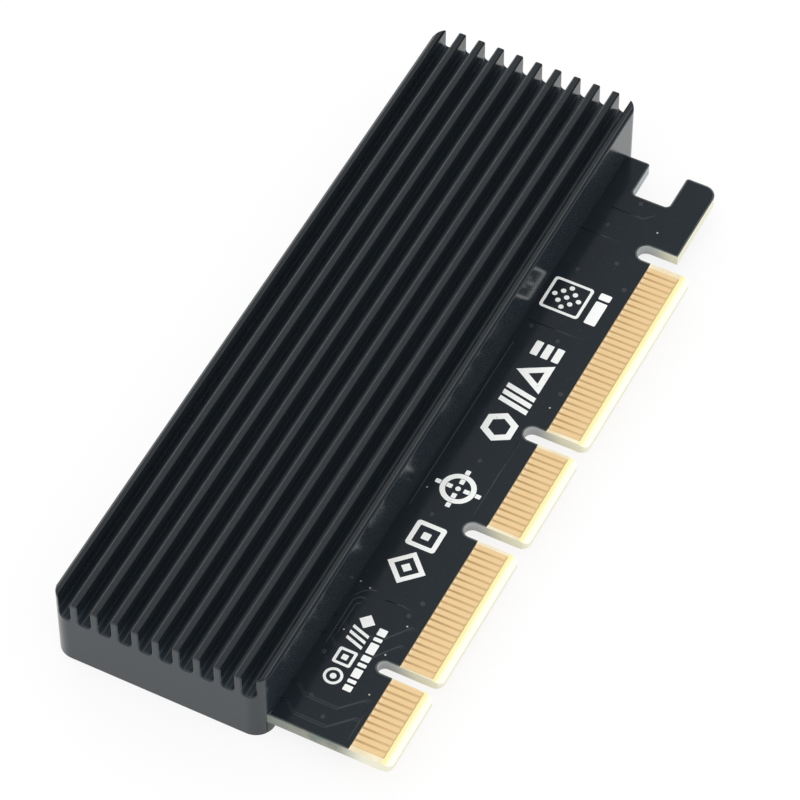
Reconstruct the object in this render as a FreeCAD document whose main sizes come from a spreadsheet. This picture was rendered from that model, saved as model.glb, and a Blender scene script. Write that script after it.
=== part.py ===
import FreeCAD, Part
import math
import os

import Sketcher

# Adapter card that carries one M.2 storage module under a finned aluminium shell and plugs
# into a long card slot. Millimetres. X runs along the card from the short contact group to the
# retention hook, Y from the contact edge to the back of the shell, and Z up through the fins.
# The origin is the middle of the card's footprint, on the flat underside of the shell.

doc = FreeCAD.newDocument("nvme_adapter_card")
sheet = doc.addObject("Spreadsheet::Sheet", "dims")

DIMENSIONS = {
    # finned shell
    "shell_length": 105.4,
    "shell_width": 29.7,
    "shell_height": 11.4,
    "shell_corner": 2.6,
    "card_depth": 46.2,
    "fin_pitch": 2.83,
    "groove_count": 10,
    "groove_width": 1.76,
    "groove_depth": 3.4,
    "groove_corner": 0.6,
    "fin_round": 0.5,
    "front_wall": 1.6,
    "back_wall": 2.0,
    "bay_height": 3.2,
    "bay_margin": 1.1,
    "bay_corner": 1.0,
    "fit_gap": 0.1,
    "cutter_overrun": 1.0,
    # cover under the board
    "cover_plate": 1.5,
    "cover_rim": 1.2,
    "cover_end": 6.4,
    # circuit board
    "board_underside": 2.3,
    "board_thickness": 1.6,
    "board_inset": 1.3,
    "board_length": 100.6,
    "board_corner": 0.9,
    "key_offset": 12.6,
    "key_width": 1.9,
    "notch_depth": 8.25,
    "short_notch": 22.35,
    "middle_notch": 39.3,
    "long_notch": 72.6,
    "notch_width": 2.3,
    "long_notch_width": 2.6,
    "bevel_length": 1.3,
    "bevel_depth": 0.4,
    "hook_setback": 3.1,
    "hook_arm": 4.6,
    "hook_gap": 5.4,
    "hook_gap_depth": 5.8,
    "hook_corner": 1.8,
    "hook_tip_corner": 0.4,
    "hook_root_corner": 0.7,
    # gold edge contacts
    "contact_pitch": 1.0,
    "contact_width": 0.7,
    "contact_length": 4.3,
    "contact_setback": 1.4,
    "contact_thickness": 0.05,
    "key_to_contact": 1.5,
    # cover screws
    "screw_inset_x": 3.4,
    "screw_front_y": 3.9,
    "screw_back_y": 4.8,
    "screw_diameter": 2.0,
    "screw_length": 6.0,
    "screw_head": 3.8,
    "screw_recess": 0.1,
    "driver_slot": 2.2,
    "driver_slot_width": 0.5,
    "driver_depth": 0.6,
    "boss_diameter": 4.8,
    "thread_core": 2.1,
    "thread_depth": 3.5,
    "screw_hole": 2.4,
    "countersink": 4.1,
    # module socket
    "module_line": 14.0,
    "socket_inset": 7.4,
    "socket_depth": 8.4,
    "socket_width": 22.0,
    "socket_height": 2.25,
    "slot_depth": 4.4,
    "slot_width": 20.0,
    "slot_floor": 0.45,
    "slot_top": 1.4,
    "roof_setback": 1.8,
    "key_rib": 1.2,
    "key_rib_offset": 6.125,
    "pin_pitch": 0.5,
    "pin_width": 0.2,
    "pin_channel": 0.3,
    "pin_gauge": 0.15,
    "pin_foot": 0.95,
    "pin_reach": 1.8,
    "channel_roof": 0.25,
    "peg_diameter": 1.5,
    "peg_length": 0.9,
    "peg_offset": 9.4,
    "tab_length": 2.4,
    "tab_width": 0.8,
    "tab_height": 1.2,
    "tab_gauge": 0.2,
    # module standoff and its screw
    "module_length": 80.0,
    "module_hole": 3.0,
    "plating_wall": 0.3,
    "standoff_flange": 5.4,
    "standoff_barrel": 3.4,
    "standoff_seat": 0.5,
    "module_screw_head": 3.6,
    "module_screw_head_height": 0.7,
    "module_screw_length": 1.9,
    # heat conducting pads
    "pad_width": 20.0,
    "upper_pad_length": 70.0,
    "upper_pad_thickness": 0.6,
    "lower_pad_length": 60.0,
    # small components soldered to the board
    "chip_clearance": 2.4,
    "small_chip_length": 1.0,
    "small_chip_width": 0.5,
    "capacitor_height": 0.5,
    "resistor_height": 0.35,
    "coupling_pitch": 1.6,
    "strap_pitch": 2.4,
    "bulk_length": 3.5,
    "bulk_width": 2.8,
    "bulk_height": 1.9,
    "bulk_pitch": 8.0,
    "decoupling_length": 1.6,
    "decoupling_width": 0.8,
    "decoupling_pitch": 1.6,
}

for row, (alias, size) in enumerate(DIMENSIONS.items(), start=1):
    sheet.set(f"A{row}", alias)
    sheet.set(f"B{row}", str(size))
    sheet.setAlias(f"B{row}", alias)
doc.recompute()


class Size:
    """A length that carries its value and the spreadsheet expression it comes from."""

    def __init__(self, value, text):
        self.value = value
        self.text = text

    def combine(self, other, sign, value):
        other_text = other.text if isinstance(other, Size) else repr(other)
        return Size(value, f"({self.text} {sign} {other_text})")

    def __add__(self, other):
        return self.combine(other, "+", self.value + number(other))

    def __sub__(self, other):
        return self.combine(other, "-", self.value - number(other))

    def __mul__(self, other):
        return self.combine(other, "*", self.value * number(other))

    def __truediv__(self, other):
        return self.combine(other, "/", self.value / number(other))

    def __neg__(self):
        return Size(-self.value, f"(0 - {self.text})")


def number(size):
    return size.value if isinstance(size, Size) else float(size)


def dim(alias):
    return Size(float(sheet.get(alias)), f"dims.{alias}")


ZERO = Size(0.0, "0")
UP = FreeCAD.Vector(0, 0, 1)
SMALLEST_LENGTH = 1e-9
SMALLEST_VOLUME = 1e-6


def bind(owner, path, size):
    owner.setExpression(path, size.text)


def new_body(label):
    body = doc.addObject("PartDesign::Body", label)
    body.Label = label
    body.AllowCompound = True
    return body


def origin_feature(body, role):
    return next(item for item in body.Origin.OriginFeatures if item.Role == role)


def new_sketch(body, plane, height=ZERO):
    """A sketch on one of the body's own origin planes, raised along the plane's normal."""
    sketch = body.newObject("Sketcher::SketchObject", "Sketch")
    sketch.AttachmentSupport = [(origin_feature(body, plane), "")]
    sketch.MapMode = "FlatFace"
    if number(height):
        bind(sketch, "AttachmentOffset.Base.z", height)
    return sketch


def draw_outline(sketch, corners):
    """A closed outline of level and upright edges; each corner is (x, y, radius or None)."""
    count = len(corners)
    spots = [FreeCAD.Vector(number(x), number(y), 0) for x, y, radius in corners]
    radii = [radius for x, y, radius in corners]

    def shortened(index, towards):
        """The end of the straight edge at a corner, drawn back by the corner's radius."""
        run = (spots[towards] - spots[index]).normalize()
        return spots[index] + run * (number(radii[index]) if radii[index] else 0.0)

    edges = []
    for index in range(count):
        following = (index + 1) % count
        line = Part.LineSegment(shortened(index, following), shortened(following, index))
        edges.append(sketch.addGeometry(line, False))
    for index in range(count):
        following = (index + 1) % count
        level = abs(spots[following].y - spots[index].y) < SMALLEST_LENGTH
        sketch.addConstraint(Sketcher.Constraint("Horizontal" if level else "Vertical", edges[index]))
        axis, place = ("DistanceY", corners[index][1]) if level else ("DistanceX", corners[index][0])
        rule = Sketcher.Constraint(axis, -1, 1, edges[index], 1, number(place))
        bind(sketch, f"Constraints[{sketch.addConstraint(rule)}]", place)
    for index in range(count):
        before, after = edges[index - 1], edges[index]
        if not radii[index]:
            sketch.addConstraint(Sketcher.Constraint("Coincident", before, 2, after, 1))
            continue
        start, finish = shortened(index, (index - 1) % count), shortened(index, (index + 1) % count)
        centre = start + finish - spots[index]
        turn = (spots[index] - start).cross(finish - spots[index]).z
        first, last = (start, finish) if turn > 0 else (finish, start)
        circle = Part.Circle(centre, UP, number(radii[index]))
        first_angle = math.atan2(first.y - centre.y, first.x - centre.x)
        last_angle = math.atan2(last.y - centre.y, last.x - centre.x)
        arc = sketch.addGeometry(Part.ArcOfCircle(circle, first_angle, last_angle), False)
        joins = (1, 2) if turn > 0 else (2, 1)
        sketch.addConstraint(Sketcher.Constraint("Tangent", before, 2, arc, joins[0]))
        sketch.addConstraint(Sketcher.Constraint("Tangent", arc, joins[1], after, 1))
        rule = Sketcher.Constraint("Radius", arc, number(radii[index]))
        bind(sketch, f"Constraints[{sketch.addConstraint(rule)}]", radii[index])


def draw_rectangle(sketch, left, right, bottom, top, radius=None):
    corners = [(left, bottom), (right, bottom), (right, top), (left, top)]
    draw_outline(sketch, [(x, y, radius) for x, y in corners])


def draw_circle(sketch, x, y, diameter):
    circle = Part.Circle(FreeCAD.Vector(number(x), number(y), 0), UP, number(diameter) / 2)
    index = sketch.addGeometry(circle, False)
    for axis, place in (("DistanceX", x), ("DistanceY", y)):
        rule = Sketcher.Constraint(axis, -1, 1, index, 3, number(place))
        bind(sketch, f"Constraints[{sketch.addConstraint(rule)}]", place)
    rule = Sketcher.Constraint("Diameter", index, number(diameter))
    bind(sketch, f"Constraints[{sketch.addConstraint(rule)}]", diameter)


def draw_polygon(sketch, points):
    """A closed outline of straight edges in any direction."""
    spots = [FreeCAD.Vector(number(x), number(y), 0) for x, y in points]
    edges = []
    for index, spot in enumerate(spots):
        line = Part.LineSegment(spot, spots[(index + 1) % len(spots)])
        edges.append(sketch.addGeometry(line, False))
    for index, (x, y) in enumerate(points):
        sketch.addConstraint(Sketcher.Constraint("Coincident", edges[index - 1], 2, edges[index], 1))
        for axis, place in (("DistanceX", x), ("DistanceY", y)):
            rule = Sketcher.Constraint(axis, -1, 1, edges[index], 1, number(place))
            bind(sketch, f"Constraints[{sketch.addConstraint(rule)}]", place)


def pad(body, sketch, length, midplane=False):
    feature = body.newObject("PartDesign::Pad", "Pad")
    feature.Profile = sketch
    bind(feature, "Length", length)
    feature.Midplane = midplane
    doc.recompute()
    return feature


def pocket(body, sketch, length, upwards=True, midplane=False):
    """Cuts along the sketch's normal when upwards, and checks that material went."""
    before = body.Shape.Volume
    feature = body.newObject("PartDesign::Pocket", "Pocket")
    feature.Profile = sketch
    bind(feature, "Length", length)
    feature.Reversed = upwards
    feature.Midplane = midplane
    doc.recompute()
    if body.Shape.Volume > before - SMALLEST_VOLUME:
        raise RuntimeError(f"a pocket in {body.Label} removed nothing")
    return feature


def repeat(body, feature, axis, spacing, count):
    """The feature repeated along an origin axis of its body."""
    pattern = body.newObject("PartDesign::LinearPattern", "LinearPattern")
    pattern.Originals = [feature]
    pattern.Direction = (origin_feature(body, axis), [""])
    pattern.Mode = "Spacing"
    bind(pattern, "Offset", spacing)
    pattern.Occurrences = count
    body.Tip = pattern
    doc.recompute()
    return pattern


# Places shared by several pieces, worked out from the driving dimensions.
shell_near = -dim("shell_length") / 2
shell_far = dim("shell_length") / 2
shell_back = dim("card_depth") / 2
shell_front = shell_back - dim("shell_width")
board_near = shell_near + dim("board_inset")
board_far = board_near + dim("board_length")
board_edge = -dim("card_depth") / 2
board_back = shell_back - dim("back_wall") - dim("fit_gap")
board_top = dim("board_underside") + dim("board_thickness")
key_x = board_near + dim("key_offset")
bay_near = board_near + dim("bay_margin")
bay_far = board_far - dim("bay_margin")
bay_front = shell_front + dim("front_wall")
bay_back = board_back - dim("bay_margin")
bay_ceiling = board_top + dim("bay_height")
screw_xs = (board_near + dim("screw_inset_x"), board_far - dim("screw_inset_x"))
screw_ys = (shell_front + dim("screw_front_y"), shell_back - dim("screw_back_y"))
SCREW_SPOTS = [(x, y) for x in screw_xs for y in screw_ys]
module_y = shell_front + dim("module_line")
socket_near = board_near + dim("socket_inset")
socket_far = socket_near + dim("socket_depth")
module_start = socket_far - dim("slot_depth") + dim("fit_gap")
standoff_x = module_start + dim("module_length")

# The other lengths of module that the board has a plated hole for, in millimetres.
SHORTER_MODULES = (42, 60)


def draw_circles(sketch, spots, diameter):
    for x, y in spots:
        draw_circle(sketch, x, y, diameter)


def mill_corners(body, height):
    """Cuts away what lies outside the shell's footprint with its rounded corners."""
    ring = new_sketch(body, "XY_Plane")
    spare = dim("shell_corner")
    draw_rectangle(ring, shell_near, shell_far, shell_front, shell_back, dim("shell_corner"))
    draw_rectangle(ring, shell_near - spare, shell_far + spare, shell_front - spare, shell_back + spare)
    pocket(body, ring, height)


def finned_shell():
    """Extruded and anodised aluminium: fins along its length, corners milled round in plan,
    and a bay milled from below that takes the board and the module."""
    body = new_body("finned_shell")
    profile = new_sketch(body, "YZ_Plane")
    top = dim("shell_height")
    draw_outline(profile, [
        (shell_front, ZERO, None),
        (shell_back, ZERO, None),
        (shell_back, top, dim("fin_round")),
        (shell_front, top, dim("fin_round")),
    ])
    pad(body, profile, dim("shell_length"), midplane=True)

    groove = new_sketch(body, "YZ_Plane")
    span = dim("fin_pitch") * (dim("groove_count") - 1)
    front = (shell_front + shell_back - span - dim("groove_width")) / 2
    back = front + dim("groove_width")
    floor = top - dim("groove_depth")
    overrun = dim("cutter_overrun")
    draw_outline(groove, [
        (front, floor, dim("groove_corner")),
        (back, floor, dim("groove_corner")),
        (back, top + overrun, None),
        (front, top + overrun, None),
    ])
    cut = pocket(body, groove, dim("shell_length") + overrun, midplane=True)
    repeat(body, cut, "Y_Axis", dim("fin_pitch"), int(DIMENSIONS["groove_count"]))
    mill_corners(body, top)

    seat = new_sketch(body, "XY_Plane")
    gap = dim("fit_gap")
    draw_outline(seat, [
        (board_near - gap, shell_front - overrun, None),
        (board_far + gap, shell_front - overrun, None),
        (board_far + gap, board_back + gap, dim("bay_corner")),
        (board_near - gap, board_back + gap, dim("bay_corner")),
    ])
    pocket(body, seat, board_top)

    bay = new_sketch(body, "XY_Plane")
    draw_rectangle(bay, bay_near, bay_far, bay_front, bay_back, dim("bay_corner"))
    pocket(body, bay, bay_ceiling)

    bosses = new_sketch(body, "XY_Plane", board_top)
    draw_circles(bosses, SCREW_SPOTS, dim("boss_diameter"))
    pad(body, bosses, dim("bay_height") + dim("fit_gap"))

    threads = new_sketch(body, "XY_Plane", board_top)
    draw_circles(threads, SCREW_SPOTS, dim("thread_core"))
    pocket(body, threads, dim("thread_depth"))
    return body


COUNTERSINK_ANGLE = 90


def bottom_cover():
    """Aluminium plate that closes the shell: its rim and thick ends clamp the board from below."""
    body = new_body("bottom_cover")
    outline = new_sketch(body, "XY_Plane")
    draw_outline(outline, [
        (board_near, shell_front, None),
        (board_far, shell_front, None),
        (board_far, board_back, dim("board_corner")),
        (board_near, board_back, dim("board_corner")),
    ])
    pad(body, outline, dim("board_underside"))
    mill_corners(body, dim("board_underside"))

    tray = new_sketch(body, "XY_Plane", dim("cover_plate"))
    near, far = board_near + dim("cover_end"), board_far - dim("cover_end")
    front, back = shell_front + dim("cover_rim"), board_back - dim("cover_rim")
    draw_rectangle(tray, near, far, front, back, dim("bay_corner"))
    pocket(body, tray, dim("board_underside"))

    holes = new_sketch(body, "XY_Plane")
    draw_circles(holes, SCREW_SPOTS, dim("screw_hole"))
    drill = body.newObject("PartDesign::Hole", "Hole")
    drill.Profile = holes
    doc.recompute()
    drill.Reversed = True
    drill.DepthType = "ThroughAll"
    drill.HoleCutType = "Countersink"
    drill.HoleCutCustomValues = True
    drill.HoleCutCountersinkAngle = COUNTERSINK_ANGLE
    bind(drill, "Diameter", dim("screw_hole"))
    bind(drill, "HoleCutDiameter", dim("countersink"))
    doc.recompute()
    return body


# Radius of a routed notch's end, as a share of the notch's width. A sliver of straight edge
# stays between its two arcs.
FULL_ROUND = 0.49


def circuit_board():
    """Fibreglass laminate routed to its outline, bevelled along the contact edge and drilled."""
    body = new_body("circuit_board")
    outline = new_sketch(body, "XY_Plane", dim("board_underside"))
    corner = dim("board_corner")
    notch_end = board_edge + dim("notch_depth")
    points = [(board_near, board_edge, corner)]

    def notch(start, width):
        """The first side of a notch and its full round end."""
        points.append((start, board_edge, corner))
        points.append((start, notch_end, width * FULL_ROUND))
        points.append((start + width, notch_end, width * FULL_ROUND))

    notch(key_x - dim("key_width") / 2, dim("key_width"))
    points.append((key_x + dim("key_width") / 2, board_edge, corner))
    for name in ("short_notch", "middle_notch"):
        notch(key_x + dim(name), dim("notch_width"))
        points.append((key_x + dim(name) + dim("notch_width"), board_edge, corner))
    notch(key_x + dim("long_notch"), dim("long_notch_width"))
    hook_edge = board_edge + dim("hook_setback")
    hook_inner = hook_edge + dim("hook_arm")
    gap_back = hook_inner + dim("hook_gap")
    gap_floor = board_far - dim("hook_gap_depth")
    points.extend([
        (key_x + dim("long_notch") + dim("long_notch_width"), hook_edge, None),
        (board_far, hook_edge, dim("hook_corner")),
        (board_far, hook_inner, dim("hook_tip_corner")),
        (gap_floor, hook_inner, dim("hook_root_corner")),
        (gap_floor, gap_back, dim("hook_root_corner")),
        (board_far, gap_back, dim("hook_tip_corner")),
        (board_far, board_back, corner),
        (board_near, board_back, corner),
    ])
    draw_outline(outline, points)
    pad(body, outline, dim("board_thickness"))

    for face, depth in ((board_top, -dim("bevel_depth")), (dim("board_underside"), dim("bevel_depth"))):
        bevel = new_sketch(body, "YZ_Plane")
        inner = board_edge + dim("bevel_length")
        draw_polygon(bevel, [(board_edge, face), (inner, face), (board_edge, face + depth)])
        pocket(body, bevel, dim("shell_length"), midplane=True)

    def drill(spots, diameter):
        holes = new_sketch(body, "XY_Plane", dim("board_underside"))
        draw_circles(holes, spots, diameter)
        pocket(body, holes, dim("board_thickness"))

    drill(SCREW_SPOTS, dim("screw_hole"))
    drill(module_spots(), dim("module_hole") + dim("plating_wall") * 2)
    drill([(standoff_x, module_y)], dim("standoff_barrel"))
    drill(peg_spots(), dim("peg_diameter") + dim("fit_gap"))
    return body


def module_spots():
    """Plated holes where the standoff goes for the shorter module lengths."""
    return [(module_start + length, module_y) for length in SHORTER_MODULES]


def peg_spots():
    x = socket_near + dim("slot_depth") / 2
    return [(x, module_y - dim("peg_offset")), (x, module_y + dim("peg_offset"))]


# First and last contact of each tongue. The contacts over a notch are left out.
CONTACT_GROUPS = ((1, 11), (12, 32), (36, 49), (53, 82))


def contact_x(number_in_row):
    """Contact 11 lies just before the key and contact 12 just past it."""
    if number_in_row <= 11:
        return key_x - dim("key_to_contact") - dim("contact_pitch") * (11 - number_in_row)
    return key_x + dim("key_to_contact") + dim("contact_pitch") * (number_in_row - 12)


def edge_contacts(label, base):
    """Hard gold plated fingers, flat on the laminate, one row to each tongue."""
    body = new_body(label)
    outer = board_edge + dim("contact_setback")
    inner = outer + dim("contact_length")
    for first, last in CONTACT_GROUPS:
        left = contact_x(first) - dim("contact_width") / 2
        finger = new_sketch(body, "XY_Plane", base)
        draw_rectangle(finger, left, left + dim("contact_width"), outer, inner)
        plated = pad(body, finger, dim("contact_thickness"))
        repeat(body, plated, "X_Axis", dim("contact_pitch"), last - first + 1)
    return body


# The socket's rows: how far each run of contacts starts from the middle of the module, in
# pitches, and how many contacts it has. The gap between the runs is the module's key.
UPPER_RUNS = ((-18.5, 29), (14.5, 5))
LOWER_RUNS = ((-18.0, 29), (15.0, 4))


def module_socket():
    """Moulded housing: a keyed slot for the module, a channel for each upper contact and a
    trough under each lower run."""
    body = new_body("module_socket")
    half = dim("socket_width") / 2
    block = new_sketch(body, "XY_Plane", board_top)
    draw_rectangle(block, socket_near, socket_far, module_y - half, module_y + half)
    pad(body, block, dim("socket_height"))

    slot = new_sketch(body, "YZ_Plane", socket_far - dim("slot_depth"))
    key_near = module_y + dim("key_rib_offset") - dim("key_rib") / 2
    key_far = key_near + dim("key_rib")
    reach = dim("slot_width") / 2
    low, high = board_top + dim("slot_floor"), board_top + dim("slot_top")
    draw_rectangle(slot, module_y - reach, key_near, low, high)
    draw_rectangle(slot, key_far, module_y + reach, low, high)
    pocket(body, slot, dim("slot_depth"))

    mouth = new_sketch(body, "XY_Plane", high)
    draw_rectangle(mouth, socket_far - dim("roof_setback"), socket_far, module_y - reach, module_y + reach)
    pocket(body, mouth, dim("socket_height"))

    roof = board_top + dim("socket_height") - dim("channel_roof")
    lip = high - dim("fit_gap")
    for start, count in UPPER_RUNS:
        side = module_y + dim("pin_pitch") * start - dim("pin_channel") / 2
        channel = new_sketch(body, "XY_Plane", lip)
        draw_rectangle(channel, socket_near, socket_far - dim("roof_setback"), side, side + dim("pin_channel"))
        cut = pocket(body, channel, roof - lip)
        repeat(body, cut, "Y_Axis", dim("pin_pitch"), count)

    troughs = new_sketch(body, "XY_Plane", board_top)
    for start, count in LOWER_RUNS:
        side = module_y + dim("pin_pitch") * start - dim("pin_channel") / 2
        end = side + dim("pin_pitch") * (count - 1) + dim("pin_channel")
        draw_rectangle(troughs, socket_far - dim("slot_depth"), socket_far, side, end)
    pocket(body, troughs, dim("slot_floor"))

    pegs = new_sketch(body, "XY_Plane", board_top - dim("peg_length"))
    draw_circles(pegs, peg_spots(), dim("peg_diameter"))
    pad(body, pegs, dim("peg_length"))
    return body


def socket_contacts(label, runs, profile):
    """Stamped spring contacts, one in each channel."""
    body = new_body(label)
    for start, count in runs:
        side = module_y + dim("pin_pitch") * start
        strip = new_sketch(body, "XZ_Plane", -side - dim("pin_width") / 2)
        draw_polygon(strip, profile)
        stamped = pad(body, strip, dim("pin_width"))
        repeat(body, stamped, "Y_Axis", dim("pin_pitch"), count)
    return body


def upper_contacts():
    """Foot behind the socket, leg up its back, and arm sprung down from the roof."""
    gauge = dim("pin_gauge")
    leg = socket_near - gauge
    foot = leg - dim("pin_foot")
    arm = board_top + dim("slot_top") + gauge
    tip = socket_far - dim("roof_setback") - dim("pin_width")
    droop = board_top + dim("slot_top") - gauge
    return socket_contacts("socket_contacts_upper", UPPER_RUNS, [
        (foot, board_top),
        (socket_near, board_top),
        (socket_near, arm),
        (tip, droop),
        (tip, droop + gauge),
        (leg, arm + gauge),
        (leg, board_top + gauge),
        (foot, board_top + gauge),
    ])


def lower_contacts():
    """Foot in front of the socket, and arm sprung up into the slot."""
    gauge = dim("pin_gauge")
    foot = socket_far + dim("pin_foot")
    knee = socket_far - dim("roof_setback")
    crest = knee - dim("pin_reach")
    rise = board_top + dim("slot_floor") + gauge
    return socket_contacts("socket_contacts_lower", LOWER_RUNS, [
        (foot, board_top),
        (foot, board_top + gauge),
        (knee, board_top + gauge),
        (crest, rise),
        (crest, rise - gauge),
        (knee, board_top),
    ])


def socket_hold_downs():
    """Tinned tabs soldered to the board at both ends of the socket."""
    body = new_body("socket_hold_downs")
    section = new_sketch(body, "YZ_Plane", socket_near + dim("tab_length"))
    gauge, foot, top = dim("tab_gauge"), dim("tab_width"), board_top + dim("tab_height")
    half = dim("socket_width") / 2
    back, front = module_y + half, module_y - half
    draw_polygon(section, [
        (back, board_top),
        (back + foot, board_top),
        (back + foot, board_top + gauge),
        (back + gauge, board_top + gauge),
        (back + gauge, top),
        (back, top),
    ])
    draw_polygon(section, [
        (front, board_top),
        (front - foot, board_top),
        (front - foot, board_top + gauge),
        (front - gauge, board_top + gauge),
        (front - gauge, top),
        (front, top),
    ])
    pad(body, section, dim("tab_length"))
    return body


def turned(body, x, y, profile):
    """Revolves a half section, drawn as (radius, height), about the upright line at x, y."""
    section = new_sketch(body, "XZ_Plane", -y)
    draw_polygon(section, [(x + radius, height) for radius, height in profile])
    axis = section.addGeometry(Part.LineSegment(
        FreeCAD.Vector(number(x), 0, 0), FreeCAD.Vector(number(x), 1, 0)), True)
    for end in (1, 2):
        rule = Sketcher.Constraint("DistanceX", -1, 1, axis, end, number(x))
        bind(section, f"Constraints[{section.addConstraint(rule)}]", x)
    solid = body.newObject("PartDesign::Revolution", "Revolution")
    solid.Profile = section
    solid.ReferenceAxis = (section, ["Axis0"])
    solid.Angle = 360
    doc.recompute()
    return solid


def cross_recess(body, x, y, face, upwards):
    """A cross driver recess in a screw's head."""
    long, wide = dim("driver_slot") / 2, dim("driver_slot_width") / 2
    cross = new_sketch(body, "XY_Plane", face)
    draw_polygon(cross, [
        (x - long, y - wide),
        (x - wide, y - wide),
        (x - wide, y - long),
        (x + wide, y - long),
        (x + wide, y - wide),
        (x + long, y - wide),
        (x + long, y + wide),
        (x + wide, y + wide),
        (x + wide, y + long),
        (x - wide, y + long),
        (x - wide, y + wide),
        (x - long, y + wide),
    ])
    return pocket(body, cross, dim("driver_depth"), upwards=upwards)


def cover_screws():
    """Countersunk machine screws through the cover and the board into the shell."""
    body = new_body("cover_screws")
    shank = dim("screw_diameter") / 2
    head = dim("screw_head") / 2
    base = dim("screw_recess")
    x, y = SCREW_SPOTS[0]
    solid = turned(body, x, y, [
        (ZERO, base),
        (head, base),
        (shank, base + head - shank),
        (shank, base + dim("screw_length")),
        (ZERO, base + dim("screw_length")),
    ])
    recess = cross_recess(body, x, y, base, upwards=True)
    pattern = body.newObject("PartDesign::LinearPattern", "LinearPattern")
    pattern.Originals = [solid, recess]
    pattern.Direction = (origin_feature(body, "X_Axis"), [""])
    pattern.Direction2 = (origin_feature(body, "Y_Axis"), [""])
    bind(pattern, "Length", screw_xs[1] - screw_xs[0])
    bind(pattern, "Length2", screw_ys[1] - screw_ys[0])
    pattern.Occurrences = 2
    pattern.Occurrences2 = 2
    body.Tip = pattern
    doc.recompute()
    return body


def module_hole_plating():
    """Copper barrels in the board's holes for the shorter modules."""
    body = new_body("module_hole_plating")
    rings = new_sketch(body, "XY_Plane", dim("board_underside"))
    draw_circles(rings, module_spots(), dim("module_hole") + dim("plating_wall") * 2)
    draw_circles(rings, module_spots(), dim("module_hole"))
    pad(body, rings, dim("board_thickness"))
    return body


def module_standoff():
    """Brass nut soldered into the board, under the end of a full length module."""
    body = new_body("module_standoff")
    bore = dim("thread_core") / 2
    seat = board_top + dim("standoff_seat")
    turned(body, standoff_x, module_y, [
        (bore, dim("board_underside")),
        (dim("standoff_barrel") / 2, dim("board_underside")),
        (dim("standoff_barrel") / 2, board_top),
        (dim("standoff_flange") / 2, board_top),
        (dim("standoff_flange") / 2, seat),
        (bore, seat),
    ])
    return body


def module_screw():
    """Low head screw that holds the module's end, parked in the standoff."""
    body = new_body("module_screw")
    seat = board_top + dim("standoff_seat")
    top = seat + dim("module_screw_head_height")
    turned(body, standoff_x, module_y, [
        (ZERO, seat - dim("module_screw_length")),
        (dim("screw_diameter") / 2, seat - dim("module_screw_length")),
        (dim("screw_diameter") / 2, seat),
        (dim("module_screw_head") / 2, seat),
        (dim("module_screw_head") / 2, top),
        (ZERO, top),
    ])
    cross_recess(body, standoff_x, module_y, top, upwards=False)
    return body


def thermal_pad(label, length, base, thickness):
    """Soft silicone sheet between the module and the metal."""
    body = new_body(label)
    sheet_outline = new_sketch(body, "XY_Plane", base)
    start = socket_far + dim("roof_setback")
    half = dim("pad_width") / 2
    draw_rectangle(sheet_outline, start, start + length, module_y - half, module_y + half)
    pad(body, sheet_outline, thickness)
    return body


def chip_row(label, x, spacing, count, length, width, height):
    """Ceramic chip parts in a row across the card, each with raised metal ends."""
    body = new_body(label)
    first_y = module_y - spacing * ((count - 1) / 2)
    section = new_sketch(body, "XZ_Plane", -first_y - width / 2)
    end, step = length / 4, height / 8
    near, far, top = x - length / 2, x + length / 2, board_top + height
    draw_polygon(section, [
        (near, board_top),
        (far, board_top),
        (far, top),
        (far - end, top),
        (far - end, top - step),
        (near + end, top - step),
        (near + end, top),
        (near, top),
    ])
    chip = pad(body, section, width)
    repeat(body, chip, "Y_Axis", spacing, count)
    return body


pieces = [
    finned_shell(),
    bottom_cover(),
    circuit_board(),
    edge_contacts("edge_contacts_top", board_top),
    edge_contacts("edge_contacts_bottom", dim("board_underside") - dim("contact_thickness")),
    module_socket(),
    upper_contacts(),
    lower_contacts(),
    socket_hold_downs(),
    module_standoff(),
    module_screw(),
    cover_screws(),
    module_hole_plating(),
    thermal_pad("thermal_pad_upper", dim("upper_pad_length"),
                bay_ceiling - dim("upper_pad_thickness"), dim("upper_pad_thickness")),
    thermal_pad("thermal_pad_lower", dim("lower_pad_length"),
                dim("cover_plate"), dim("board_underside") - dim("cover_plate")),
    chip_row("coupling_capacitors", socket_near - dim("chip_clearance"), dim("coupling_pitch"), 8,
             dim("small_chip_length"), dim("small_chip_width"), dim("capacitor_height")),
    chip_row("strap_resistors", socket_near - dim("chip_clearance") * 2, dim("strap_pitch"), 4,
             dim("small_chip_length"), dim("small_chip_width"), dim("resistor_height")),
    chip_row("bulk_capacitors", screw_xs[1], dim("bulk_pitch"), 2,
             dim("bulk_length"), dim("bulk_width"), dim("bulk_height")),
    chip_row("decoupling_capacitors", screw_xs[1], dim("decoupling_pitch"), 3,
             dim("decoupling_length"), dim("decoupling_width"), dim("decoupling_width")),
]

doc.recompute()
for item in doc.Objects:
    if "Invalid" in item.State or "Error" in item.State:
        raise RuntimeError(f"{item.Label} failed: {item.State}")
os.makedirs("parts", exist_ok=True)
for piece in pieces:
    shape = piece.Shape
    if shape.isNull() or not shape.isValid():
        raise RuntimeError(f"{piece.Label} has no valid shape")
    shape.exportStep(f"parts/{piece.Label}.step")
    print(piece.Label, len(shape.Solids), round(shape.Volume, 2), shape.BoundBox)
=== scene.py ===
import math

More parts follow.
